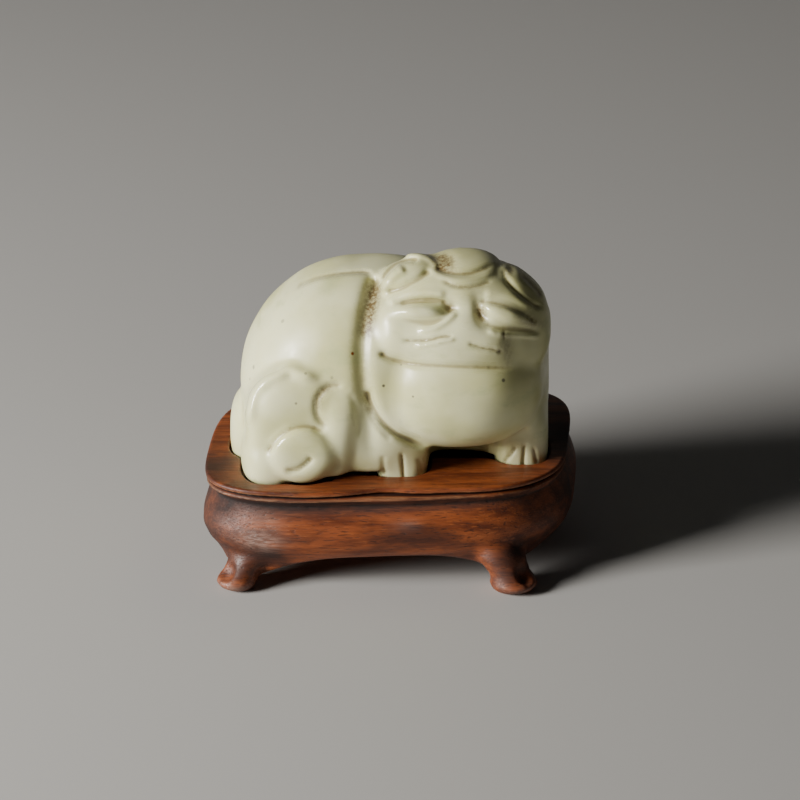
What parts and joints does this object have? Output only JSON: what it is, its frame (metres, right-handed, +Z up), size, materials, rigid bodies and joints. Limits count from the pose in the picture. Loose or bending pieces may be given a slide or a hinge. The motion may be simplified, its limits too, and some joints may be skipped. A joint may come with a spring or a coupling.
{
  "type": "jade lion carving on a wooden stand",
  "caption": "Crouching lion carved from pale green jade, head turned to the viewer, seated in a fitted hardwood stand with a bulging side and outward turned feet.",
  "frame": {"origin": "on the ground under the middle of the stand", "axes": "+Z up, -Y the way the lion faces, +X towards the lion's head end, along the stand's length"},
  "size_m": [0.075, 0.0574, 0.0644],
  "materials": {
    "jade": "polished",
    "hardwood": "waxed"
  },
  "bodies": {
    "root": {"lion_carving": "jade", "wood_stand": "hardwood"}
  },
  "joints": []
}
